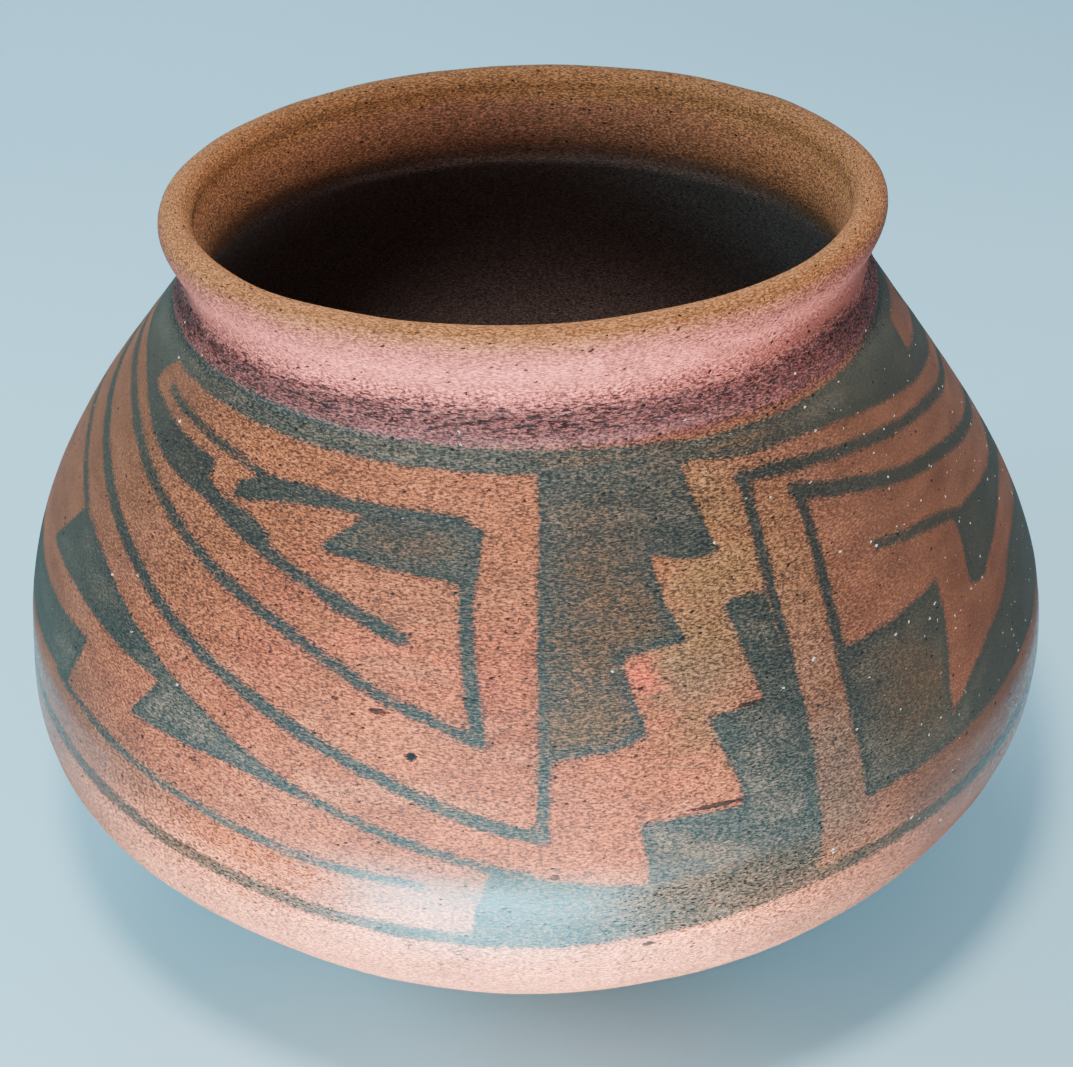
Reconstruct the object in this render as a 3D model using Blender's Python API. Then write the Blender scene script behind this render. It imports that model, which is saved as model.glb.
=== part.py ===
"""A hand-built pottery jar: low belly, wide mouth, short neck and a thick rolled lip.

It is one piece of fired clay, turned about +Z and then pushed slightly out of true, as a
coiled and scraped pot is. The origin is the middle of the underside; the front is -Y.
"""

import math

import bmesh
import bpy
from mathutils import Vector

MM = 0.001

# Overall sizes
BODY_DIAMETER = 300 * MM
WIDEST_HEIGHT = 82 * MM
FOOT_DIAMETER = 100 * MM

# The wall between the widest level and the crease under the neck
CREASE_HEIGHT = 187.4 * MM
CREASE_DIAMETER = 192.4 * MM
SHOULDER_ANGLE = 54.5
BELLY_RISE = 45 * MM
SHOULDER_REACH = 35 * MM

# The wall between the widest level and the foot
BELLY_DROP = 20 * MM
FOOT_ANGLE = 14
FOOT_REACH = 68 * MM

# The neck above the crease, and the rolled lip
THROAT_RISE = 10.6 * MM
THROAT_DIAMETER = 183.6 * MM
NECK_REACH = 4 * MM
LIP_RISE = 12.9 * MM
LIP_DIAMETER = 192.6 * MM
LIP_THICKNESS = 9.4 * MM

# Wall thickness
WALL = 7 * MM

# How far the pot is out of true. The rim's lift and shift come in over a stretch of wall that is
# given as shares of the rise from the widest level to the crease.
RIM_LIFT_RIGHT = 2.2 * MM
RIM_LIFT_FRONT = 1.4 * MM
RIM_SHIFT = 2.0 * MM
RIM_BLEND_START = 0.8
RIM_BLEND_LENGTH = 0.4
SHOULDER_SWAY = 1.0 * MM
SHOULDER_SWAY_RISE = 70 * MM
BELLY_SWAY = 1.0 * MM
BELLY_SWAY_RISE = 16 * MM
SWAY_SPREAD = 22 * MM
LOW_BULGE = 2.0 * MM
LOW_BULGE_DROP = 13 * MM
LOW_BULGE_SPREAD = 15 * MM
LOW_BULGE_SIDE = -54
LOW_BULGE_WIDTH = 22

# How finely the curves are divided
ROUND_STEPS = 64
LOWER_STEPS = 10
UPPER_STEPS = 11
NECK_STEPS = 4
LIP_STEPS = 6
MERGE_DISTANCE = 0.01 * MM
SHARP_ANGLE = 50

CLAY_COLOUR = (0.46, 0.17, 0.10, 1.0)
CLAY_ROUGHNESS = 0.62


def clear_scene():
    for thing in list(bpy.data.objects):
        bpy.data.objects.remove(thing, do_unlink=True)


def polar(length, degrees):
    """A step of this length in the (radius, height) plane, at this angle above outward."""
    angle = math.radians(degrees)
    return Vector((length * math.cos(angle), length * math.sin(angle)))


def curve_points(start, start_handle, end_handle, end, steps):
    """Points along a cubic curve, without its first one."""
    points = []
    for step in range(1, steps + 1):
        t = step / steps
        s = 1 - t
        points.append(
            s**3 * start + 3 * s * s * t * start_handle + 3 * s * t * t * end_handle + t**3 * end
        )
    return points


def outer_profile():
    """(radius, height) points up the outside, from the middle of the underside to the lip."""
    foot = Vector((FOOT_DIAMETER / 2, 0))
    widest = Vector((BODY_DIAMETER / 2, WIDEST_HEIGHT))
    crease = Vector((CREASE_DIAMETER / 2, CREASE_HEIGHT))
    throat = Vector((THROAT_DIAMETER / 2, CREASE_HEIGHT + THROAT_RISE))
    lip = Vector((LIP_DIAMETER / 2, throat.y + LIP_RISE))
    up = Vector((0, 1))
    points = [Vector((0, 0)), foot]
    points += curve_points(
        foot, foot + polar(FOOT_REACH, FOOT_ANGLE), widest - up * BELLY_DROP, widest, LOWER_STEPS
    )
    points += curve_points(
        widest,
        widest + up * BELLY_RISE,
        crease + polar(SHOULDER_REACH, -SHOULDER_ANGLE),
        crease,
        UPPER_STEPS,
    )
    towards_neck = polar(NECK_REACH, 180 - (90 + SHOULDER_ANGLE) / 2)
    points += curve_points(
        crease, crease + towards_neck, throat - up * NECK_REACH, throat, NECK_STEPS
    )
    points += curve_points(
        throat, throat + up * NECK_REACH, lip - up * LIP_THICKNESS / 2, lip, NECK_STEPS
    )
    return points


def lip_arc(lip):
    """The half round over the top of the lip, from its outermost point to its innermost."""
    middle = lip - Vector((LIP_THICKNESS / 2, 0))
    return [
        middle + polar(LIP_THICKNESS / 2, 180 * step / LIP_STEPS)
        for step in range(1, LIP_STEPS + 1)
    ]


def inner_profile(outer):
    """The outside moved in by the wall, from the lip down to the middle of the floor."""
    throat_height = CREASE_HEIGHT + THROAT_RISE
    points = []
    for index, point in enumerate(outer[:-1]):
        before = outer[max(index - 1, 0)]
        after = outer[index + 1]
        along = (after - before).normalized()
        inward = Vector((-along.y, along.x))
        if index == 0:
            inward = Vector((0, 1))
        towards_lip = max(0, (point.y - throat_height) / LIP_RISE)
        thickness = WALL + (LIP_THICKNESS - WALL) * towards_lip
        points.append(point + inward * thickness)
    return points[::-1]


def bump(distance, spread):
    return math.exp(-((distance / spread) ** 2))


def out_of_true(place):
    """Where a point of the true turned shape sits on the hand-made pot."""
    rise = place.z - WIDEST_HEIGHT
    crease_rise = CREASE_HEIGHT - WIDEST_HEIGHT
    up_neck = (rise / crease_rise - RIM_BLEND_START) / RIM_BLEND_LENGTH
    up_neck = min(max(up_neck, 0), 1)
    up_neck = up_neck * up_neck * (3 - 2 * up_neck)
    side = math.degrees(math.atan2(place.x, -place.y))
    moved = place.copy()
    moved.x += BELLY_SWAY * bump(rise - BELLY_SWAY_RISE, SWAY_SPREAD)
    moved.x -= SHOULDER_SWAY * bump(rise - SHOULDER_SWAY_RISE, SWAY_SPREAD)
    moved.x -= RIM_SHIFT * up_neck
    swell = LOW_BULGE * bump(rise + LOW_BULGE_DROP, LOW_BULGE_SPREAD)
    swell *= bump(side - LOW_BULGE_SIDE, LOW_BULGE_WIDTH)
    moved += Vector((place.x, place.y, 0)).normalized() * swell
    across = place.x / (LIP_DIAMETER / 2)
    forward = -place.y / (LIP_DIAMETER / 2)
    moved.z += (RIM_LIFT_RIGHT * across + RIM_LIFT_FRONT * forward) * up_neck
    return moved


def turned(profile):
    """A mesh of the closed profile turned once about +Z, with its points on the axis joined."""
    shape = bmesh.new()
    rail = [shape.verts.new((point.x, 0, point.y)) for point in profile]
    edges = [shape.edges.new(pair) for pair in zip(rail, rail[1:])]
    bmesh.ops.spin(
        shape,
        geom=rail + edges,
        cent=(0, 0, 0),
        axis=(0, 0, 1),
        angle=2 * math.pi,
        steps=ROUND_STEPS,
        use_merge=True,
    )
    bmesh.ops.remove_doubles(shape, verts=shape.verts, dist=MERGE_DISTANCE)
    bmesh.ops.recalc_face_normals(shape, faces=shape.faces)
    return shape


def clay():
    material = bpy.data.materials.new("fired_clay")
    material.use_nodes = True
    shader = material.node_tree.nodes["Principled BSDF"]
    shader.inputs["Base Color"].default_value = CLAY_COLOUR
    shader.inputs["Roughness"].default_value = CLAY_ROUGHNESS
    shader.inputs["Metallic"].default_value = 0.0
    return material


def make_jar():
    outer = outer_profile()
    profile = outer + lip_arc(outer[-1]) + inner_profile(outer)
    shape = turned(profile)
    for vert in shape.verts:
        vert.co = out_of_true(vert.co)
    mesh = bpy.data.meshes.new("jar")
    shape.to_mesh(mesh)
    shape.free()
    mesh.shade_smooth()
    mesh.set_sharp_from_angle(angle=math.radians(SHARP_ANGLE))
    mesh.materials.append(clay())
    jar = bpy.data.objects.new("jar", mesh)
    bpy.context.scene.collection.objects.link(jar)
    return jar


clear_scene()
make_jar()
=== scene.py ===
"""Looks of the painted jar: a finely meshed clay body with its slip, painted figures and wear.

The jar is drawn in two coordinates. SIDE is the angle round the jar in degrees, 0 at the front
and positive to the right. DROP is the distance in millimetres down the wall from the crease
under the neck, measured along the clay; it is negative up the neck, over the lip and inside.
"""

import math

import bpy
import numpy as np
from mathutils import Matrix, Vector, noise


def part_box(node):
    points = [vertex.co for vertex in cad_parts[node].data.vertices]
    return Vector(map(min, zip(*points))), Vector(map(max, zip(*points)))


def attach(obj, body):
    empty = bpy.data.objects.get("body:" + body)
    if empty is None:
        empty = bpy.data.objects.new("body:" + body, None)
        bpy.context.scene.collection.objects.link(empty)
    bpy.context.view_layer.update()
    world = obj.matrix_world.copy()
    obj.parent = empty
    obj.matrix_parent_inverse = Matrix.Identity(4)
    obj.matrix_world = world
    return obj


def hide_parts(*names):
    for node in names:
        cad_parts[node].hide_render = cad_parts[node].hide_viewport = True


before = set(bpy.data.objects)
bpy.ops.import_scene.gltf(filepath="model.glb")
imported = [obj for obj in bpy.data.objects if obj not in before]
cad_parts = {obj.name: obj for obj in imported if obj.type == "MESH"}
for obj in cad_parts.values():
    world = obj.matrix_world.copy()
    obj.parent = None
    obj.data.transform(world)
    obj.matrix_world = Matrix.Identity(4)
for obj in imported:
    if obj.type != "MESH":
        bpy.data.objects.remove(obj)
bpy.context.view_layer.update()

MM = 0.001

# The turned shape, in millimetres, as in the CAD part
BODY_RADIUS = 150.0
WIDEST_HEIGHT = 82.0
FOOT_RADIUS = 50.0
CREASE_HEIGHT = 187.4
CREASE_RADIUS = 96.2
SHOULDER_ANGLE = 54.5
BELLY_RISE = 45.0
SHOULDER_REACH = 35.0
BELLY_DROP = 20.0
FOOT_ANGLE = 14.0
FOOT_REACH = 68.0
THROAT_RISE = 10.6
THROAT_RADIUS = 91.8
NECK_REACH = 4.0
LIP_RISE = 12.9
LIP_RADIUS = 96.3
LIP_THICKNESS = 9.4
WALL = 7.0

# How far the jar is out of true, in millimetres and degrees, as in the CAD part. The rim's lift
# and shift come in between these shares of the rise from the widest level to the crease.
RIM_BLEND_START = 0.8
RIM_BLEND_END = 1.2
RIM_LIFT_RIGHT = 2.2
RIM_LIFT_FRONT = 1.4
RIM_SHIFT = 2.0
SHOULDER_SWAY = 1.0
SHOULDER_SWAY_RISE = 70.0
BELLY_SWAY = 1.0
BELLY_SWAY_RISE = 16.0
SWAY_SPREAD = 22.0
LOW_BULGE = 2.0
LOW_BULGE_DROP = 13.0
LOW_BULGE_SPREAD = 15.0
LOW_BULGE_SIDE = -54.0
LOW_BULGE_WIDTH = 22.0

# The mesh: columns round the jar, and the distance between rings in each stretch of the wall
COLUMNS = 526
CURVE_POINTS = 400
LIP_POINTS = 60
PAINTED_DROP = 124.0
CREASE_TOP = -12.0
FOOT_STEP = 12.0
LOWER_STEP = 6.0
PAINTED_STEP = 1.7
CREASE_STEP = 0.6
NECK_STEP = 1.25
INNER_NECK = 36.0
INNER_NECK_STEP = 2.0
INSIDE_STEP = 10.5

# The painted layout: the front shows one whole panel and the start of the next
PANEL = 142.0
PANEL_START = -114.0
SHOWN_END = 90.0
BACK_SQUEEZE = (3 * PANEL - (SHOWN_END - PANEL_START)) / (360 - (SHOWN_END - PANEL_START))


def polar(length, degrees):
    angle = math.radians(degrees)
    return np.array([length * math.cos(angle), length * math.sin(angle)])


def cubic(start, start_handle, end_handle, end):
    t = np.linspace(0, 1, CURVE_POINTS)[:, None]
    s = 1 - t
    return s**3 * start + 3 * s * s * t * start_handle + 3 * s * t * t * end_handle + t**3 * end


def path_length(points):
    return np.r_[0, np.cumsum(np.hypot(*np.diff(points, axis=0).T))]


def respaced(points, step):
    """The same path with points about this far apart."""
    along = path_length(points)
    count = max(2, round(along[-1] / step) + 1)
    wanted = np.linspace(0, along[-1], count)
    return np.stack([np.interp(wanted, along, points[:, axis]) for axis in (0, 1)], -1)


def outside_path():
    """(radius, height) up the outside in four stretches: lower wall, shoulder, neck and flare."""
    up = np.array([0.0, 1.0])
    foot = np.array([FOOT_RADIUS, 0.0])
    widest = np.array([BODY_RADIUS, WIDEST_HEIGHT])
    crease = np.array([CREASE_RADIUS, CREASE_HEIGHT])
    throat = np.array([THROAT_RADIUS, CREASE_HEIGHT + THROAT_RISE])
    lip = np.array([LIP_RADIUS, CREASE_HEIGHT + THROAT_RISE + LIP_RISE])
    towards_neck = polar(NECK_REACH, 180 - (90 + SHOULDER_ANGLE) / 2)
    return (
        cubic(foot, foot + polar(FOOT_REACH, FOOT_ANGLE), widest - up * BELLY_DROP, widest),
        cubic(
            widest,
            widest + up * BELLY_RISE,
            crease + polar(SHOULDER_REACH, -SHOULDER_ANGLE),
            crease,
        ),
        cubic(crease, crease + towards_neck, throat - up * NECK_REACH, throat),
        cubic(throat, throat + up * NECK_REACH, lip - up * LIP_THICKNESS / 2, lip),
    )


def moved_in(path):
    """The outside path moved in by the wall, which thickens up to the lip."""
    along = np.gradient(path, axis=0)
    along /= np.linalg.norm(along, axis=1)[:, None]
    inward = np.stack([-along[:, 1], along[:, 0]], -1)
    to_lip = np.clip((path[:, 1] - CREASE_HEIGHT - THROAT_RISE) / LIP_RISE, 0, 1)
    return path + inward * (WALL + (LIP_THICKNESS - WALL) * to_lip)[:, None]


def split(path, length):
    """The path cut in two this far along it."""
    first = path_length(path) <= length
    return path[first], path[np.count_nonzero(first) - 1 :]


def profile_rings():
    """(radius, height) of each ring from the middle of the underside, up the outside, over the
    lip and down the inside, with each ring's DROP and the ring at which each stretch starts."""
    lower, shoulder, neck, flare = outside_path()
    wall = np.vstack([lower[:-1], shoulder])
    lower_part, painted_part = split(wall, path_length(wall)[-1] - PAINTED_DROP)
    crease_part, neck_part = split(np.vstack([neck[:-1], flare]), -CREASE_TOP)
    lip_middle = flare[-1] - np.array([LIP_THICKNESS / 2, 0])
    turns = np.radians(np.linspace(0, 180, LIP_POINTS))
    lip = lip_middle + LIP_THICKNESS / 2 * np.stack([np.cos(turns), np.sin(turns)], -1)
    inside = moved_in(np.vstack([lower[:-1], shoulder[:-1], neck[:-1], flare]))[::-1]
    inner_neck, inside = split(np.vstack([inside, (0, WALL)]), INNER_NECK)
    stretches = {
        "foot": respaced(np.array([(0, 0), (FOOT_RADIUS, 0)]), FOOT_STEP),
        "lower": respaced(lower_part, LOWER_STEP),
        "painted": respaced(painted_part, PAINTED_STEP),
        "crease": respaced(crease_part, CREASE_STEP),
        "neck": respaced(neck_part, NECK_STEP),
        "lip": respaced(lip, NECK_STEP),
        "inner_neck": respaced(inner_neck, INNER_NECK_STEP),
        "inside": respaced(inside, INSIDE_STEP),
    }
    starts = {}
    rings = np.zeros((0, 2))
    for name, stretch in stretches.items():
        starts[name] = len(rings)
        rings = np.vstack([rings, stretch if name == "inside" else stretch[:-1]])
    along = path_length(rings)
    return rings, along[starts["crease"]] - along, starts


def bump(distance, spread):
    return np.exp(-((distance / spread) ** 2))


def smooth_step(value, low, high):
    share = np.clip((value - low) / (high - low), 0, 1)
    return share * share * (3 - 2 * share)


def out_of_true(points):
    """Where points of the true turned shape sit on the hand-made jar."""
    x, y, z = points.T
    rise = z - WIDEST_HEIGHT
    crease_rise = CREASE_HEIGHT - WIDEST_HEIGHT
    up_neck = smooth_step(rise, crease_rise * RIM_BLEND_START, crease_rise * RIM_BLEND_END)
    side = np.degrees(np.arctan2(x, -y))
    radius = np.maximum(np.hypot(x, y), 1e-6)
    swell = LOW_BULGE * bump(rise + LOW_BULGE_DROP, LOW_BULGE_SPREAD)
    swell *= bump(side - LOW_BULGE_SIDE, LOW_BULGE_WIDTH)
    sway = BELLY_SWAY * bump(rise - BELLY_SWAY_RISE, SWAY_SPREAD)
    sway -= SHOULDER_SWAY * bump(rise - SHOULDER_SWAY_RISE, SWAY_SPREAD)
    sway -= RIM_SHIFT * up_neck
    lift = (RIM_LIFT_RIGHT * x - RIM_LIFT_FRONT * y) / LIP_RADIUS * up_neck
    return np.stack([x + sway + x / radius * swell, y + y / radius * swell, z + lift], -1)


# Painted figures

# The distance given to clay far from paint, and how sharply a soft spot fades
FAR_FROM_PAINT = 30.0
SPOT_FADE = 1.5

# Long brush lines: width in millimetres, then (SIDE, DROP) points that a smooth line passes
LINES = (
    # the upright line at the end of a panel, and the same line one panel earlier
    (3.3, (28.6, 13), (28.3, 26), (28.0, 45), (27.5, 65), (27.0, 85), (26.4, 104), (26.2, 113)),
    (3.3, (-113.4, 13), (-113.7, 26), (-114, 45), (-114.5, 65), (-115, 85), (-115.6, 104),
     (-115.8, 113)),
    # the second upright line, with its block
    (3.4, (35.9, 20), (35.6, 32), (34.9, 45), (34.2, 58), (33.6, 72), (33.3, 90)),
    (3.4, (-106.1, 20), (-106.4, 32), (-107.1, 45), (-107.8, 58), (-108.4, 72), (-108.7, 90)),
    # the two sweeps that start at the upright lines on the right
    (3.2, (28, 13.2), (35, 14.2), (42, 15.8), (50, 18.3), (60, 21.7), (70, 25.6), (80, 30.3),
     (91, 33)),
    (4.0, (35.3, 20), (40, 23), (45, 25.5), (55, 31.4), (65, 36), (75, 42), (83, 46.3), (91, 50.4)),
    # the same two sweeps arriving from the left
    (3.3, (-114, 13.2), (-100, 15.6), (-90, 18), (-80, 19.8), (-70, 23), (-60, 28), (-50, 33.7),
     (-40, 40), (-30, 46), (-25, 49.5), (-20, 53.5), (-15, 58.2), (-10, 62), (-5.4, 66.2)),
    (3.7, (-106.4, 20), (-95, 25.5), (-85, 30), (-75, 34.2), (-65, 40.2), (-55, 47), (-45, 54.6),
     (-35, 62), (-25, 69.2), (-20, 73), (-15, 77), (-10, 81.3), (-5, 85.4), (0.6, 88.6)),
    # the upright line in the middle of the front, down to where the lower sweep ends
    (3.3, (1.9, 4), (1.8, 20), (1.6, 40), (1.3, 60), (0.9, 75), (0.4, 88.4)),
    # the thick bar from the small flag down to where the upper sweep ends
    (3.9, (-6.6, 19), (-7, 35), (-6.4, 46), (-5.8, 56), (-5.2, 66.4)),
    # the thin line inside the upper orange strip
    (2.7, (-62, 10.7), (-55, 12), (-50, 12.8), (-44, 13.8), (-37, 15.6)),
    # the lines that lead into the wedges
    (2.8, (44.4, 41.2), (50, 43.8), (55, 46), (60, 49.4), (63, 52)),
    (2.8, (-97, 41), (-88, 42), (-80, 43.4), (-75, 45.6), (-70, 48.6), (-65, 52.4)),
    # the tail of the barb, and the thin line under it
    (2.9, (-24, 85), (-20, 86.8), (-15, 90.2), (-10, 93.3), (-5, 96.4), (-1, 98.6)),
    (2.8, (-60, 94.8), (-50, 96.3), (-45, 97.2), (-38, 98.4), (-30, 100), (-20, 101.8),
     (-10.2, 103)),
    # the framing line round the belly
    (4.4, (-114.2, 112.2), (-95, 111.6), (-75, 111.6), (-60, 112.2), (-50, 112.9), (-40, 113.7),
     (-30, 114.7), (-20, 116.1), (-10, 117), (2, 117), (12, 116), (20, 114.4), (28, 112.4),
     (40, 111.8), (55, 112.2), (70, 112.8), (91, 112.9)),
)

# Filled areas: corners as (SIDE, DROP), with straight edges
AREAS = {
    "band above the panel": (
        (-66, -1.4), (-40, -1.6), (-20, -0.6), (0, 0), (12, 0.6), (24, 2.0), (40, 2.6),
        (40, 9.6), (30, 8.8), (21, 6.8), (0, 5.8), (-20, 5.4), (-50, 4.8), (-66, 4.5),
    ),
    "dark shoulder at the right": (
        (38, 2.6), (50, 1.8), (60, 0.8), (74, -1.2), (92, -1.4), (92, 4.9), (80, 4.6), (75.6, 4.8),
        (75.2, 10), (74.4, 13.8), (80, 15.2), (92, 16.9), (92, 26.2), (85, 24.6), (80, 22.8),
        (75, 20.8), (70, 19), (65, 16.8), (60, 15), (55, 13.2), (50, 11.6), (45, 10.2), (38, 9.4),
    ),
    "dark shoulder at the left": (
        (-102, 2.4), (-92, 1.6), (-80, -0.6), (-64, -1.4), (-64.4, 4.5), (-66.6, 8), (-67.6, 13.4),
        (-65, 14.1), (-60, 15.3), (-55, 16.6), (-50, 17), (-46, 17.3), (-45, 18.2), (-45, 22.2),
        (-42, 24), (-40, 24.8), (-36, 25.4), (-33, 28), (-31.8, 30.6), (-30, 31.7), (-25, 34.7),
        (-20, 37.8), (-15, 41.4), (-13, 43.4), (-12.2, 45), (-13, 46.4), (-15, 45.4), (-20, 41.8),
        (-25, 38.2), (-30, 35.2), (-33, 33.4), (-37, 31.4), (-40, 29.8), (-45, 27.2), (-50, 26.9),
        (-55, 25), (-60, 22.7), (-65, 19.8), (-70, 16.7), (-75, 14.8), (-80, 13.6), (-92, 11.6),
        (-102, 9.4),
    ),
    "small flag": (
        (-40.6, 21.6), (-40.2, 19), (-38.2, 16.8), (-36, 14.8), (-30, 14.3), (-20, 14.6), (-10, 15),
        (-7.6, 15.6), (-6.2, 18.4), (-5.6, 24), (-5.8, 31), (-9, 31), (-10, 30.2), (-15, 29.6),
        (-20, 28.9), (-25, 28.2), (-26.1, 27), (-24.6, 24.6), (-22.8, 21.6), (-21, 18.5),
        (-24, 18.6), (-27, 18.8), (-30, 19.5), (-32.5, 20.5), (-35, 21.7), (-37.5, 23),
        (-39.4, 23.4),
    ),
    "middle stepped block": (
        (1, 4), (20.6, 4), (20.8, 11), (21.4, 17), (22, 22), (23.1, 28.2), (20.4, 28.8), (17, 27.6),
        (14.4, 25.8), (14.7, 31), (15.3, 37), (16.2, 42), (17.2, 46.6), (13, 47.4), (9.8, 48.6),
        (10.3, 55), (10.9, 61), (11.6, 66.4), (8, 69.4), (4, 70.2), (0.6, 70.6),
    ),
    "stepped block on the upright line": (
        (21.7, 39.2), (27.6, 39.4), (27.2, 64), (26.6, 90), (26.2, 112), (12, 116), (-6.2, 117),
        (-6, 109), (-5.2, 103), (-4.5, 97.2), (0, 98.8), (5, 101), (9.9, 102.6), (9.6, 94),
        (9.3, 86.6), (14, 86.2), (19.6, 86.6), (19.2, 80), (18.4, 73), (17.2, 64.4), (23.7, 63.6),
        (22.8, 52),
    ),
    "block at the right": (
        (33.6, 59.2), (42, 59), (51.2, 57.6), (50, 66), (48.4, 74.6), (46.9, 82), (46.1, 90),
        (50, 85.2), (53, 82), (56, 79.8), (60, 78), (63, 76.2), (66, 73.6), (70, 71.6), (76, 72.4),
        (87.6, 77), (86.6, 85), (84.6, 94), (70, 95.4), (58, 95.8), (46, 96.4), (32.6, 96.6),
    ),
    "block at the left": (
        (-108.4, 59.2), (-100, 59), (-90.8, 57.6), (-92, 66), (-93.6, 74.6), (-95.1, 82),
        (-95.9, 90),
        (-92, 85.2), (-86, 79.8), (-80, 78.6), (-72, 79.4), (-66, 79), (-60, 78.2), (-54.3, 77),
        (-55.4, 85), (-57.4, 94.2), (-66, 95.2), (-80, 95.6), (-96, 96.4), (-109.4, 96.6),
    ),
    "wedge at the left": (
        (-66, 52.4), (-62.6, 52.6), (-58, 54.6), (-55, 56.8), (-50, 60.8), (-45, 64.8), (-40, 69.2),
        (-35, 73.2), (-30, 78), (-25, 82.2), (-21, 85.2), (-21, 87.6), (-25, 85.8), (-31, 84.3),
        (-38, 84.8), (-44.9, 85.2), (-43.3, 79.6), (-41.3, 72.9), (-45, 72.3), (-50, 71.5),
        (-55, 70.6), (-60, 69.7), (-65, 69.6), (-71.4, 69.8), (-70.2, 66), (-68, 60),
    ),
    "wedge at the right": (
        (59.6, 49.6), (65, 50.8), (70, 53), (75, 55.4), (80, 57.4), (92, 59.4), (92, 70.8),
        (85, 66), (80, 63.8), (75, 63), (70, 63.8), (65, 65.3), (62, 66.6), (60, 68), (58, 67.8),
        (56.4, 65.8), (57.4, 61), (58.8, 56),
    ),
}

# Where the paint is thin and brown: SIDE, DROP, reach to the sides, reach down, how much
THIN = (
    (8, 44, 8, 30, 0.85),
    (6, 64, 9, 9, 0.95),
    (-15, 22.5, 6.5, 4.5, 0.65),
    (42, 78, 6, 14, 0.55),
    (26, 4, 14, 5, 0.75),
    (10, 3, 12, 4, 0.60),
    (12, 103, 12, 10, 0.45),
    (1, 108, 8, 8, 0.40),
    (-64, 11, 12, 3, 0.25),
    (-45, 113, 34, 8, 0.85),
    (30, 113, 16, 6, 0.60),
)

# Where the slip fired ochre, in the same terms
OCHRE = (
    (23.5, 16, 6, 12, 0.85),
    (22, 34, 8, 10, 0.95),
    (18, 50, 9, 14, 0.95),
    (17, 68, 5, 12, 0.65),
    (31, 50, 4.5, 45, 0.75),
    (30, 92, 4, 12, 0.85),
    (29, 104, 4, 8, 0.60),
)

# Where the slip fired a bright red, in the same terms
BRIGHT_RED = (
    (11.5, 57, 2.6, 9, 0.95),
    (14, 74, 5, 5, 0.35),
    (-16, 50, 14, 10, 0.25),
    (62, 78, 5, 5, 0.3),
)

# Where smoke or smeared paint dulls the slip, and painted shade low on the belly at the right and
# the left, in the same terms
SMUDGES_AND_SHADE = (
    (30, 84, 4.5, 18, 0.88),
    (31, 62, 4, 8, 0.30),
    (16, 56, 7, 7, 0.25),
    (31, 100, 6, 12, 0.80),
    (46, 104, 15, 11, 0.85),
    (-47, 103, 12, 7, 0.40),
)

# Single chips and gouges: SIDE, DROP, half its length, half its height, how deep
CHIPS = (
    (-11.7, 70.9, 1.5, 0.95, 1.0),
    (-15.3, 61.5, 2.6, 0.7, 0.9),
    (-20.0, 60.5, 1.0, 0.5, 0.8),
    (17.0, 85.3, 7.5, 0.6, 0.9),
    (22.4, 63.8, 3.6, 0.6, 0.8),
    (10.0, 120.5, 1.7, 0.8, 0.9),
    (1.4, 98.6, 1.2, 0.7, 0.7),
    (-35.2, 87.0, 1.5, 0.5, 0.8),
)

# How far beyond a chip, in millimetres, its place is still kept on the mesh
CHIP_MARGIN = 2.5


def smooth_line(points, parts=5):
    """A smooth line through the points, as short straight pieces."""
    places = np.array(points, float)
    padded = np.vstack([2 * places[0] - places[1], places, 2 * places[-1] - places[-2]])
    made = []
    for before, start, end, after in zip(padded, padded[1:], padded[2:], padded[3:]):
        for t in np.arange(parts) / parts:
            made.append(
                0.5
                * (
                    2 * start
                    + (end - before) * t
                    + (2 * before - 5 * start + 4 * end - after) * t**2
                    + (3 * start - before - 3 * end + after) * t**3
                )
            )
    return np.vstack([made, places[-1]])


def distance_to(side, drop, width, start, end):
    """Distance in millimetres from each point to one straight piece; width is one degree's."""
    x, y = (side - start[0]) * width, drop - start[1]
    dx, dy = (end[0] - start[0]) * width, end[1] - start[1]
    share = np.clip((x * dx + y * dy) / np.maximum(dx * dx + dy * dy, 1e-9), 0, 1)
    return np.hypot(x - share * dx, y - share * dy)


def distance_to_line(side, drop, width, points):
    pieces = zip(points, points[1:])
    return np.min([distance_to(side, drop, width, start, end) for start, end in pieces], axis=0)


def distance_to_area(side, drop, width, corners):
    """The distance to the area's edge, negative inside it."""
    around = np.array(corners + corners[:1], float)
    inside = np.zeros(len(side), bool)
    for (x1, y1), (x2, y2) in zip(around, around[1:]):
        crosses = (y1 > drop) != (y2 > drop)
        inside ^= crosses & (side < (x2 - x1) * (drop - y1) / (y2 - y1 + 1e-12) + x1)
    edge = distance_to_line(side, drop, width, around)
    return np.where(inside, -edge, edge)


def layout_side(side):
    """The SIDE on the shown front whose paint belongs here, and how many layout degrees one
    real degree is. The back repeats the front's panel, squeezed to fit round the jar."""
    turned = np.where(side < PANEL_START, side + 360, side)
    behind = turned > SHOWN_END
    spread = np.where(behind, SHOWN_END + (turned - SHOWN_END) * BACK_SQUEEZE, turned)
    first_end = PANEL_START + 2 * PANEL
    shown = np.where(behind, spread - np.where(spread > first_end, 2, 1) * PANEL, spread)
    return shown, np.where(behind, BACK_SQUEEZE, 1.0)


def paint_distance(side, drop, radius):
    """The distance to the nearest painted edge in millimetres, negative under paint."""
    place, squeeze = layout_side(side)
    degree = radius * math.pi / 180 / squeeze
    nearest = np.full(len(side), FAR_FROM_PAINT)
    for width, *points in LINES:
        line = distance_to_line(place, drop, degree, smooth_line(points)) - width / 2
        nearest = np.minimum(nearest, line)
    for corners in AREAS.values():
        nearest = np.minimum(nearest, distance_to_area(place, drop, degree, corners))
    return nearest


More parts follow.
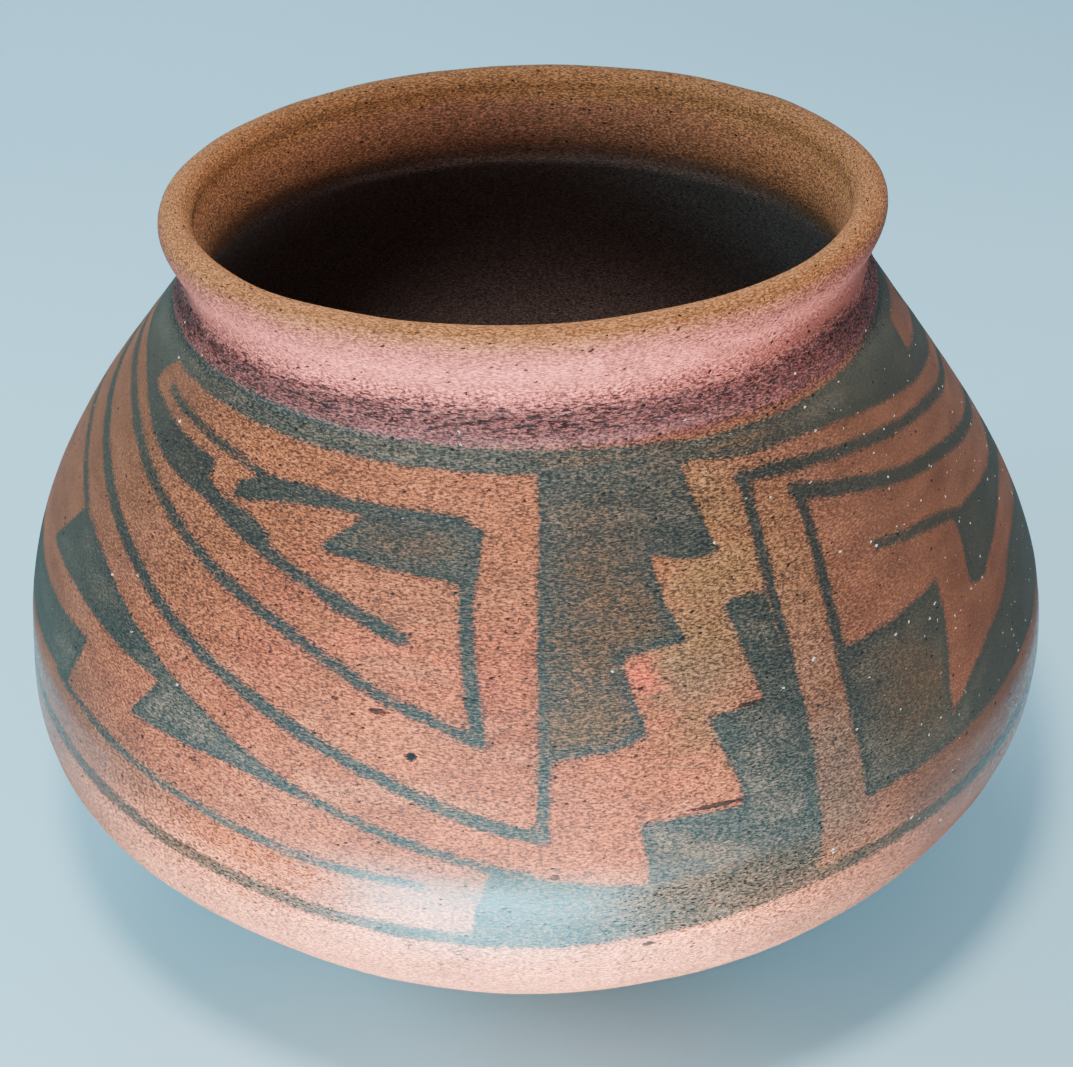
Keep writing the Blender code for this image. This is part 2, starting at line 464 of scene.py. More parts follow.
def patches(side, drop, spots):
    """How much of these soft spots lies over each point, from 0 to 1."""
    place, _ = layout_side(side)
    amount = np.zeros(len(side))
    for spot_side, spot_drop, reach_side, reach_drop, most in spots:
        away = ((place - spot_side) / reach_side) ** 2 + ((drop - spot_drop) / reach_drop) ** 2
        amount = np.maximum(amount, most * np.exp(-(away**SPOT_FADE)))
    return amount


def chip_places(side, drop, radius):
    """Each point's place in the nearest chip, in its half lengths and half heights, and how deep
    that chip is, which is 0 beyond its margin."""
    nearest = np.full(len(side), np.inf)
    places = np.zeros((len(side), 3))
    for chip_side, chip_drop, half_length, half_height, most in CHIPS:
        along = (side - chip_side) * radius * math.pi / 180
        down = drop - chip_drop
        away = np.maximum(np.abs(along) - half_length, np.abs(down) - half_height)
        depth = np.where(away < CHIP_MARGIN, most, 0)
        place = np.column_stack([along / half_length, down / half_height, depth])
        chosen = away < nearest
        places[chosen] = place[chosen]
        nearest = np.minimum(nearest, away)
    return places


# Noise fields: the size of their features in millimetres, in all directions or round the jar
# (twice) and down the wall, and a seed
FIELDS = {
    "hand": (38, 1),
    "fingers": (15, 2),
    "scraping": ((55, 55, 4.4), 3),
    "fine scraping": ((20, 20, 3.6), 4),
    "hollows": ((7.0, 7.0, 1.15), 5),
    "small hollows": ((2.6, 2.6, 0.9), 6),
    "groove": (30, 7),
    "pinching": (18, 8),
    "ledge": (26, 9),
    "lip line": (40, 10),
    "hollow stretches": ((34, 34, 60), 12),
    "torn stretches": ((20, 20, 60), 12),
    "crack": ((19, 19, 200), 13),
    "crack stretches": ((13, 13, 200), 14),
    "cloud": (34, 21),
    "pale": ((26, 26, 9), 22),
    "drift": ((24, 24, 30), 23),
    "slip edge": (9, 24),
    "mottle": ((15, 15, 6), 25),
    "paint edge": (6.5, 26),
    "streaks": ((18, 18, 4.5), 27),
    "neck streaks": ((30, 30, 3.6), 28),
}
SEED_STEP = (17.3, 5.1, 9.7)

# Finer layers on a field: how many times finer, how much later the seed and how strong
FINER_LAYERS = ((2.1, 30, 0.5), (4.3, 60, 0.25))


def noise_at(points, size, seed):
    offset = Vector([seed * step for step in SEED_STEP])
    return np.array([noise.noise(Vector(point) + offset) for point in points / size])


def wave(points, field):
    """Smooth noise at each point, from -1 to 1."""
    return noise_at(points, *FIELDS[field])


def waves(points, field):
    """The same noise with two finer layers on it."""
    size, seed = FIELDS[field]
    total = wave(points, field)
    for finer, later, strength in FINER_LAYERS:
        total = total + strength * noise_at(points, np.divide(size, finer), seed + later)
    return total


# The clay's relief, in millimetres. A stretch of wall is given by the two DROPs between which it
# comes in.
HAND_HEIGHT = 0.30
FINGER_HEIGHT = 0.14
SCRAPING_HEIGHT = 0.07
FINE_SCRAPING = 0.04
HOLLOWS_TOP = (-10.5, -7.5)
HOLLOWS_FOOT = (0.5, -2.0)
HOLLOW_DEPTH = 0.5
TEARS_TOP = (-12.0, -9.0)
TEARS_FOOT = (-0.5, -4.5)
TEARS_SIDE = -14
TEARS_REACH = 36
LONG_CRACK_DROP = -8.8
LONG_CRACK_WIDTH = 0.55
PINCHED_HEIGHT = 0.20
PINCHED_DROP = -31
PINCHED_REACH = 9.0

# Rings of relief round the jar: height, DROP, half width, and how far they waver up and down
GROOVE = (-0.45, 0.0, 1.5, 0.6)
LEDGE = (0.30, -10.5, 2.0, 0.8)
LIP_LINE = (-0.30, -45.0, 1.0, 0.7)


def hollow_share(skin, drop, outside):
    """The unsmoothed clay in the crease: shallow hollows stretched along the crease."""
    zone = smooth_step(drop, *HOLLOWS_TOP) * smooth_step(drop, *HOLLOWS_FOOT) * outside
    strength = np.clip(0.7 + 0.6 * wave(skin, "hollow stretches"), 0.1, 1)
    torn = wave(skin, "hollows") + 0.8 * wave(skin, "small hollows")
    return smooth_step(torn, 0.16, 0.44) * zone * strength


def tear_share(skin, side, drop, outside):
    """How much of the surface is torn by small cracks: most in the crease at the front, with a
    thin crack that comes and goes along the crease's upper edge."""
    zone = smooth_step(drop, *TEARS_TOP) * smooth_step(drop, *TEARS_FOOT)
    strength = 0.30 + 0.55 * bump(side - TEARS_SIDE, TEARS_REACH)
    strength += 0.40 * wave(skin, "torn stretches")
    crack = bump(drop - LONG_CRACK_DROP + 1.6 * wave(skin, "crack"), LONG_CRACK_WIDTH)
    crack *= smooth_step(wave(skin, "crack stretches"), -0.15, 0.15)
    return np.clip(np.maximum(zone * strength, 1.2 * crack), 0, 1.2) * outside


def ring_height(points, drop, ring, field):
    height, at, half_width, waver = ring
    return height * bump(drop - at + waver * wave(points, field), half_width)


def relief(points, skin, drop, outside):
    """How far the surface stands out or in from the smooth form."""
    hand = HAND_HEIGHT * wave(points, "hand") + FINGER_HEIGHT * wave(points, "fingers")
    scraping = SCRAPING_HEIGHT * wave(skin, "scraping")
    scraping += FINE_SCRAPING * wave(skin, "fine scraping")
    groove = ring_height(points, drop, GROOVE, "groove")
    ledge = ring_height(points, drop, LEDGE, "ledge")
    lip_line = ring_height(points, drop, LIP_LINE, "lip line")
    pinched = PINCHED_HEIGHT * wave(points, "pinching")
    pinched *= bump(drop - PINCHED_DROP, PINCHED_REACH)
    height = np.where(outside > 0, hand + scraping + groove + ledge, 0.5 * hand + lip_line)
    return height + pinched - HOLLOW_DEPTH * hollow_share(skin, drop, outside)


# Colours of the clay and the paint, as linear red, green and blue

SLIP_RED = (0.213, 0.048, 0.0125)
# painted shade: the darker slip up the shoulder, where less light falls
SLIP_UPPER_SHADE = (0.160, 0.047, 0.015)
SLIP_DEEP = (0.130, 0.030, 0.010)
SLIP_PALE = (0.262, 0.073, 0.025)
SLIP_BRIGHT = (0.330, 0.036, 0.010)
# painted shade on the slip at the right and the left sides
SLIP_SIDE_SHADE = (0.118, 0.049, 0.028)
SALMON = (0.540, 0.158, 0.074)
OCHRE_SLIP = (0.118, 0.058, 0.016)
PAINT_DARK = (0.020, 0.020, 0.015)
PAINT_GREY = (0.051, 0.040, 0.0275)
PAINT_BROWN = (0.045, 0.0235, 0.0095)
NECK_PINK = (0.400, 0.088, 0.068)
# brown of the neck, also painted shade on the neck away from the front
NECK_BROWN_AND_SHADE = (0.165, 0.046, 0.028)
# mauve clay of the crease, darkened with painted shade
CREASE_MAUVE_AND_SHADE = (0.090, 0.028, 0.024)
LIP_ORANGE = (0.228, 0.086, 0.029)
# painted shade for the back of the lip
LIP_BACK_SHADE = (0.142, 0.060, 0.023)
INSIDE_BROWN = (0.094, 0.036, 0.019)
# soot and painted shade for the dark inside below the throat
SOOT_AND_SHADE = (0.100, 0.068, 0.060)
# painted shade inside pits, chips and cracks
HOLE_SHADE = (0.003, 0.0015, 0.001)
TEMPER_WHITE = (0.80, 0.74, 0.66)

# The two DROPs between which one colour gives way to the next
UPPER_SHADE_ZONE = (28, 84)
SLIP_PALE_ZONE = (20, 70)
SALMON_ZONE = (97, 124)
SLIP_END_ZONE = (2.6, -1.4)
PINK_ZONE = (-6.5, -12.5)
NECK_BROWN_ZONE = (-6, -11)
UPPER_NECK_ZONE = (-18, -26)
LIP_ZONE = (-24.0, -29.5)
INSIDE_ZONE = (-42, -47)
SOOT_AND_SHADE_ZONE = (-58, -72)

# The SIDE that faces the lamps and the camera most squarely
FRONT_SIDE = -8

# Painted shade on the slip at the right and the left, where less light falls: SIDE where it comes
# in, and where it goes again behind
SIDE_SHADE_RIGHT = (8, 46)
SIDE_SHADE_LEFT = (30, 66)
SIDE_SHADE_END = (160, 110)

# Where paint turns from dark to grey: in from its edge, in millimetres, and low on the wall, where
# the grey is painted light
PAINT_INNER = (1.0, 3.5)
PAINT_LIT_LOW_ZONE = (92, 108)

# The paint's least brightness, and what is added low on the wall, by the crease and on smooth clay:
# the amount, and where it comes in. The least brightness is painted shade up the shoulder, and
# what is added low on the wall is painted light
LEAST_BRIGHT = 0.78
PAINT_LIT_LOW = (0.42, 40, 105)
BRIGHT_CREASE = (0.50, 13, 3)
BRIGHT_SMOOTH = (0.62, 0.8, 0.3)


def mixed(first, second, share):
    """The first colour turned into the second by each point's share."""
    first, second = np.atleast_2d(first), np.atleast_2d(second)
    return first + (second - first) * np.asarray(share)[:, None]


def slip_colour(skin, side, drop):
    cloud = waves(skin, "cloud")
    # painted shade: the slip darker up the shoulder, giving way to the red lower down
    colour = mixed(SLIP_UPPER_SHADE, SLIP_RED, smooth_step(drop + 14 * cloud, *UPPER_SHADE_ZONE))
    colour = mixed(colour, SLIP_DEEP, 0.8 * smooth_step(cloud, 0.0, 0.7))
    pale = smooth_step(waves(skin, "pale"), 0.05, 0.8)
    colour = mixed(colour, SLIP_PALE, pale * smooth_step(drop, *SLIP_PALE_ZONE))
    colour = mixed(colour, SALMON, smooth_step(drop + 9 * cloud, *SALMON_ZONE))
    colour = mixed(colour, OCHRE_SLIP, patches(side + 2 * cloud, drop, OCHRE))
    streaks = waves(skin, "streaks")
    red = patches(side, drop, BRIGHT_RED) * smooth_step(streaks, -0.4, 0.4)
    colour = mixed(colour, SLIP_BRIGHT, red)
    # smeared paint, and painted shade low on the belly at the sides
    colour = mixed(colour, PAINT_GREY, patches(side, drop, SMUDGES_AND_SHADE))
    # painted shade at the right and the left sides
    right = smooth_step(side + 8 * cloud, *SIDE_SHADE_RIGHT) * smooth_step(side, *SIDE_SHADE_END)
    left = 0.85 * smooth_step(-side + 8 * cloud, *SIDE_SHADE_LEFT) * smooth_step(-side, *SIDE_SHADE_END)
    colour = mixed(colour, SLIP_SIDE_SHADE, 0.8 * np.maximum(right, left))
    return colour * (1 + 0.28 * streaks)[:, None]


def neck_colour(skin, side, drop):
    """From the torn crease, darkened with painted shade, up the pink neck, over the orange lip and
    down the inside, darkened with soot and painted shade; the neck away from the front and the back
    of the lip get painted shade too.
    """
    drift = waves(skin, "drift")
    streaks = waves(skin, "neck streaks")
    pink = smooth_step(drop + drift + 0.8 * streaks, *PINK_ZONE)
    # the crease is mauve clay darkened with painted shade where the neck meets the shoulder
    colour = mixed(CREASE_MAUVE_AND_SHADE, NECK_PINK, pink)
    brown = 0.6 * smooth_step(drift + 0.9 * streaks, 0.0, 0.8)
    # painted shade: the neck browner and darker away from the front, where less light falls
    brown = np.maximum(brown, 0.75 * smooth_step(np.abs(side - FRONT_SIDE), 16, 70))
    colour = mixed(colour, NECK_BROWN_AND_SHADE, brown * smooth_step(drop, *NECK_BROWN_ZONE))
    upper = smooth_step(drop + 2.0 * drift, *UPPER_NECK_ZONE)
    colour = mixed(colour, NECK_BROWN_AND_SHADE, 0.7 * upper)
    colour = colour * (1 + 0.30 * streaks)[:, None]
    # painted shade: the lip darker and browner towards the back
    lip = mixed(LIP_ORANGE, LIP_BACK_SHADE, smooth_step(np.abs(side + 12) + 12 * drift, 60, 150))
    colour = mixed(colour, lip, smooth_step(drop + 1.2 * drift, *LIP_ZONE))
    across = np.sin(np.radians(side)) ** 2
    inside = mixed(INSIDE_BROWN, LIP_ORANGE, 0.5 * across)
    colour = mixed(colour, inside, smooth_step(drop + 1.5 * drift, *INSIDE_ZONE))
    # soot and painted shade darken the inside below the throat
    return mixed(colour, SOOT_AND_SHADE, smooth_step(drop + 2.0 * drift, *SOOT_AND_SHADE_ZONE))


def clay_colour(skin, side, drop):
    neck = neck_colour(skin, side, drop)
    edge = drop + 0.8 * wave(skin, "slip edge")
    return mixed(slip_colour(skin, side, drop), neck, smooth_step(edge, *SLIP_END_ZONE))


def paint_colour(skin, drop, thin, rugged, distance):
    """Dark where the brush left its edge, greyer inside wide areas and brown where it is thin;
    darker up the shoulder with painted shade, and greyer and lighter low on the belly with painted
    light.
    """
    mottle = waves(skin, "mottle")
    # painted light: paint greyer low on the belly
    low = 0.8 * smooth_step(drop, *PAINT_LIT_LOW_ZONE)
    inner = np.maximum(smooth_step(-distance, *PAINT_INNER), low)
    colour = mixed(PAINT_DARK, PAINT_GREY, inner * rugged * smooth_step(mottle, -0.45, 0.65))
    colour = mixed(colour, PAINT_BROWN, np.clip(thin * inner * (1 + 0.8 * mottle), 0, 1))
    # painted shade up the shoulder and painted light low on the wall
    bright = LEAST_BRIGHT
    for value, added in ((drop, PAINT_LIT_LOW), (drop, BRIGHT_CREASE), (rugged, BRIGHT_SMOOTH)):
        bright = bright + added[0] * smooth_step(value, *added[1:])
    return colour * bright[:, None]


# How coarse the grain is at the sides and up the neck, where 1 is the coarsest, and where the
# coarse front and crease begin and end
SIDE_RUGGED = 0.22
NECK_RUGGED = 0.75
RUGGED_FRONT = (66, 30)
RUGGED_CREASE_TOP = (-12, -8)
RUGGED_CREASE_FOOT = (3, 0)

# Where pale temper grains show most: two stretches of SIDE, and of DROP
STONY_START = (12, 48)
STONY_END = (130, 100)
STONY_TOP = -4
STONY_FOOT = (126, 112)


def rugged_share(side, drop):
    """How coarse the surface looks: most at the front and in the crease, least at the sides."""
    front = smooth_step(np.abs(side - FRONT_SIDE), *RUGGED_FRONT)
    crease = smooth_step(drop, *RUGGED_CREASE_TOP) * smooth_step(drop, *RUGGED_CREASE_FOOT)
    rugged = np.maximum(SIDE_RUGGED + (1 - SIDE_RUGGED) * front, crease)
    return np.where(drop < RUGGED_CREASE_TOP[0], NECK_RUGGED, rugged)


def stony_share(side, drop):
    around = smooth_step(side, *STONY_START) * smooth_step(side, *STONY_END)
    return around * (drop > STONY_TOP) * smooth_step(drop, *STONY_FOOT)


# The highest DROP of paint and how far its edge wavers, how far the clay is sunk so that its relief
# stays in the CAD box, and the height over which the relief fades out to the foot
PAINT_TOP = -6
PAINT_WAVER = 0.35
SUNK = 0.35
FOOT_FADE = 12


def make_jar():
    rings, drop, starts = profile_rings()
    sides = np.linspace(-180, 180, COLUMNS, endpoint=False)
    turn = np.radians(sides)
    middle = rings[1:-1]
    ring_of = np.repeat(np.arange(1, len(rings) - 1), COLUMNS)
    points = np.stack(
        [
            (middle[:, :1] * np.sin(turn)).ravel(),
            (-middle[:, :1] * np.cos(turn)).ravel(),
            np.repeat(middle[:, 1], COLUMNS),
        ],
        -1,
    )
    along = np.gradient(rings, axis=0)
    along /= np.linalg.norm(along, axis=1)[:, None]
    outward = np.stack([along[:, 1], -along[:, 0]], -1)[ring_of]
    side = np.tile(sides, len(middle))
    normal = np.stack(
        [
            outward[:, 0] * np.sin(np.radians(side)),
            -outward[:, 0] * np.cos(np.radians(side)),
            outward[:, 1],
        ],
        -1,
    )
    point_drop = drop[ring_of]
    skin = np.column_stack([points[:, :2], point_drop])
    outside = (ring_of < starts["inner_neck"]).astype(float)
    height = relief(points, skin, point_drop, outside) - SUNK * outside
    height[ring_of < starts["lower"]] = 0
    height *= np.where(outside > 0, smooth_step(points[:, 2], 0, FOOT_FADE), 1)
    placed = out_of_true(points) + normal * height[:, None]
    poles = np.array([[0, 0, 0], [0, 0, WALL]])
    low, high = (np.array(corner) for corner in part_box("jar"))
    mesh = woven_mesh(np.clip(np.vstack([placed, poles]) * MM, low, high), len(middle))

    radius = np.hypot(points[:, 0], points[:, 1])
    painted = (ring_of >= starts["painted"] - 1) & (point_drop > PAINT_TOP) & (outside > 0)
    distance = np.full(len(side), FAR_FROM_PAINT)
    distance[painted] = paint_distance(side[painted], point_drop[painted], radius[painted])
    distance += PAINT_WAVER * wave(skin, "paint edge")
    thin = patches(side, point_drop, THIN)
    rugged = rugged_share(side, point_drop)
    clay = clay_colour(skin, side, point_drop)
    paint = paint_colour(skin, point_drop, thin, rugged, distance)
    chip = chip_places(side, point_drop, radius) * outside[:, None]
    store(mesh, "paint_distance", distance)
    store(mesh, "thin", thin)
    store(mesh, "rugged", rugged)
    store(mesh, "tears", tear_share(skin, side, point_drop, outside))
    store(mesh, "stony", stony_share(side, point_drop))
    store(mesh, "drop", point_drop)
    store_all(mesh, "skin", "FLOAT_VECTOR", "vector", skin)
    store_all(mesh, "chip", "FLOAT_VECTOR", "vector", chip)
    store_all(mesh, "clay", "FLOAT_COLOR", "color", with_alpha(clay))
    store_all(mesh, "paint", "FLOAT_COLOR", "color", with_alpha(paint))
    add_bake_map(mesh, drop, starts)
    jar = bpy.data.objects.new("painted_jar", mesh)
    bpy.context.scene.collection.objects.link(jar)
    return jar


def with_alpha(colours):
    return np.column_stack([colours, np.ones(len(colours))])


def store_all(mesh, name, kind, field, values):
    """Values at each point; each pole takes those of the ring beside it."""
    filled = np.vstack([values, values[0], values[-1]]).astype(np.float32)
    mesh.attributes.new(name, kind, "POINT").data.foreach_set(field, filled.ravel())


def store(mesh, name, values):
    store_all(mesh, name, "FLOAT", "value", np.asarray(values, float)[:, None])


def woven_mesh(points, ring_count):
    """Quads between neighbouring rings, closed at both ends by a fan round a pole."""
    grid = np.arange(ring_count * COLUMNS).reshape(ring_count, COLUMNS)
    beside = np.roll(grid, -1, axis=1)
    quads = np.stack([grid[:-1], beside[:-1], beside[1:], grid[1:]], -1).reshape(-1, 4)
    under, floor = len(points) - 2, len(points) - 1
    under_fan = [(under, b, a) for a, b in zip(grid[0], beside[0])]
    floor_fan = [(floor, a, b) for a, b in zip(grid[-1], beside[-1])]
    mesh = bpy.data.meshes.new("painted_jar")
    mesh.from_pydata(points.tolist(), [], quads.tolist() + under_fan + floor_fan)
    mesh.shade_smooth()
    mesh.update()
    return mesh


# The texture map's side and the gap between its bands in pixels, and its bands: the first stretch
# of rings, the stretch after the last, how tall the band is, and in how many parts it lies
MAP_PIXELS = 1024
MAP_GAP = 4
MAP_BANDS = (
    ("painted", "crease", 262, 2),
    ("crease", "inside", 100, 2),
    ("lower", "painted", 72, 2),
    ("inside", "end", 84, 1),
    ("foot", "lower", 30, 1),
)
NONE_YET = 10**6


def add_bake_map(mesh, drop, starts):
    """A texture map that gives the painted wall most of the room: each band of rings is laid out
    flat, and most are cut in two halves, one above the other."""
    starts = starts | {"end": len(drop) - 1}
    loops = np.zeros(len(mesh.loops), np.int32)
    mesh.loops.foreach_get("vertex_index", loops)
    counts = np.zeros(len(mesh.polygons), np.int32)
    mesh.polygons.foreach_get("loop_total", counts)
    poles = COLUMNS * (len(drop) - 2)
    pole_ring = np.where(loops == poles, 0, len(drop) - 1)
    ring = np.where(loops < poles, loops // COLUMNS + 1, pole_ring)
    column = np.where(loops < poles, loops % COLUMNS, -1)
    face_of = np.repeat(np.arange(len(counts)), counts)
    lowest_ring = np.full(len(counts), NONE_YET)
    np.minimum.at(lowest_ring, face_of, ring)
    first_column = np.full(len(counts), NONE_YET)
    last_column = np.full(len(counts), -1)
    np.minimum.at(first_column, face_of, np.where(column < 0, NONE_YET, column))
    np.maximum.at(last_column, face_of, column)
    wraps = (last_column - first_column) > 1
    middle = np.where(wraps, COLUMNS - 0.5, (first_column + last_column) / 2)[face_of]
    column = np.where(wraps[face_of] & (column == 0), COLUMNS, column)
    around = np.where(column < 0, middle, column) / COLUMNS
    half = (middle / COLUMNS >= 0.5).astype(float)
    uv = np.zeros((len(loops), 2))
    base = MAP_GAP
    for name, next_name, tall, parts in MAP_BANDS:
        first, last = starts[name], starts[next_name]
        chosen = (lowest_ring[face_of] >= first) & (lowest_ring[face_of] < last)
        share = (drop[first] - drop[ring]) / (drop[first] - drop[last])
        across = (around - half / parts) * parts if parts == 2 else around
        rise = base + share * tall + (half * (tall + MAP_GAP) if parts == 2 else 0)
        uv[chosen, 0] = (MAP_GAP + across * (MAP_PIXELS - 2 * MAP_GAP))[chosen] / MAP_PIXELS
        uv[chosen, 1] = rise[chosen] / MAP_PIXELS
        base += parts * (tall + MAP_GAP)
    layer = mesh.uv_layers.new(name="OFBake")
    layer.data.foreach_set("uv", uv.astype(np.float32).ravel())


# Material

class Nodes:
    """Short names for the shader nodes that the clay uses."""

    def __init__(self, name):
        self.material = bpy.data.materials.new(name)
        self.material.use_nodes = True
        self.tree = self.material.node_tree
        self.shader = self.tree.nodes["Principled BSDF"]

    def put(self, target, value):
        if isinstance(value, bpy.types.NodeSocket):
            self.tree.links.new(value, target)
        else:
            target.default_value = value

    def add(self, kind, **settings):
        node = self.tree.nodes.new(kind)
        for name, value in settings.items():
            setattr(node, name, value)
        return node

    def stored(self, name, output="Fac"):
        """A value kept on the mesh's points."""
        return self.add("ShaderNodeAttribute", attribute_name=name).outputs[output]

    def scaled(self, vector, scale):
        node = self.add("ShaderNodeMapping")
        self.put(node.inputs["Vector"], vector)
        node.inputs["Scale"].default_value = scale
        return node.outputs["Vector"]

    def noise(self, vector, detail, roughness):
        node = self.add("ShaderNodeTexNoise")
        self.put(node.inputs["Vector"], vector)
        node.inputs["Scale"].default_value = 1
        node.inputs["Detail"].default_value = detail
        node.inputs["Roughness"].default_value = roughness
        return node.outputs["Fac"]

    def spots(self, vector):
        """Distance to the nearest of many scattered points, and a random colour for each."""
        node = self.add("ShaderNodeTexVoronoi", feature="F1")
        self.put(node.inputs["Vector"], vector)
        node.inputs["Scale"].default_value = 1
        return node.outputs["Distance"], node.outputs["Color"]

    def math(self, operation, first, second):
        node = self.add("ShaderNodeMath", operation=operation)
        for socket, value in zip(node.inputs, (first, second)):
            self.put(socket, value)
        return node.outputs["Value"]

    def times(self, *values):
        result = values[0]
        for value in values[1:]:
            result = self.math("MULTIPLY", result, value)
        return result

    def plus(self, *values):
        result = values[0]
        for value in values[1:]:
            result = self.math("ADD", result, value)
        return result

    def moved(self, vector, step):
        node = self.add("ShaderNodeVectorMath", operation="ADD")
        self.put(node.inputs[0], vector)
        self.put(node.inputs[1], step)
        return node.outputs["Vector"]

    def ramp(self, value, low, high, to_low=0.0, to_high=1.0):
        """The value carried smoothly from low..high to to_low..to_high, and held beyond."""
        node = self.add("ShaderNodeMapRange", interpolation_type="SMOOTHSTEP")
        names = ("Value", "From Min", "From Max", "To Min", "To Max")
        for name, part in zip(names, (value, low, high, to_low, to_high)):
            self.put(node.inputs[name], part)
        return node.outputs["Result"]

    def mix(self, share, first, second, blend="MIX"):
        node = self.add("ShaderNodeMix", data_type="RGBA", blend_type=blend)
        self.put(node.inputs["Factor"], share)
        self.put(node.inputs[6], first)
        self.put(node.inputs[7], second)
        return node.outputs[2]

    def channels(self, colour):
        node = self.add("ShaderNodeSeparateColor")
        self.put(node.inputs["Color"], colour)
        return node.outputs

    def parts(self, vector):
        node = self.add("ShaderNodeSeparateXYZ")
        self.put(node.inputs["Vector"], vector)
        return node.outputs

    def grey(self, value):
        node = self.add("ShaderNodeCombineColor")
        for socket in node.inputs[:3]:
            self.put(socket, value)
        return node.outputs["Color"]

    def triple(self, *values):
        node = self.add("ShaderNodeCombineXYZ")
        for socket, value in zip(node.inputs, values):
            self.put(socket, value)
        return node.outputs["Vector"]

    def bump(self, height):
        """A normal for this height in millimetres."""
        node = self.add("ShaderNodeBump")
        self.put(node.inputs["Height"], height)
        node.inputs["Strength"].default_value = 1.0
        node.inputs["Distance"].default_value = MM
        return node.outputs["Normal"]


def chip_depth(n, fine):
    """How deep the single chips and gouges are, from 0 to 1."""
    along, down, depth = n.parts(n.stored("chip", "Vector"))
    ragged = n.times(n.math("SUBTRACT", fine, 0.5), 2.2)
    away = n.plus(n.times(along, along), n.times(down, down), ragged)
    return n.times(n.ramp(away, 0.6, 1.15, 1.0, 0.0), depth)


# The material's noise and spots: features to a millimetre round the jar (twice) and down it
GRAIN_SCALE = (1.10, 1.10, 2.20)
FINE_SCALE = (0.75, 0.75, 3.60)
CRACK_SCALE = (0.36, 0.36, 2.10)
SPOT_SCALE = (0.50, 0.50, 0.85)

# The soft edge of the paint in millimetres, and how much of it is rubbed away in coarse places
PAINT_EDGE = (-0.85, 0.95)
MOST_COVER = 0.98
MOST_RUBBED = 0.17

# The share of spots that are pits, on smooth clay and in addition on coarse clay, and the share
# that are pale specks, in the same way for stony clay
PIT_SHARE = 0.06
COARSE_PITS = 0.30
SPECK_SHARE = 0.004
STONY_SPECKS = 0.055
SPOT_SOFTNESS = 0.06

# The DROPs between which specks come in, and the burnished band comes in and goes
SPECK_TOP = (-16, -4)
BURNISH_TOP = (94, 106)
BURNISH_FOOT = (130, 119)
SPECULAR = 0.20

# How high or deep each kind of relief is, in millimetres
GRAIN_HEIGHT = 0.40
FINE_HEIGHT = 0.14
SPECK_HEIGHT = 0.12
PIT_DEPTH = 0.30
CHIP_DEPTH = 0.8
CRACK_DEPTH = 0.5


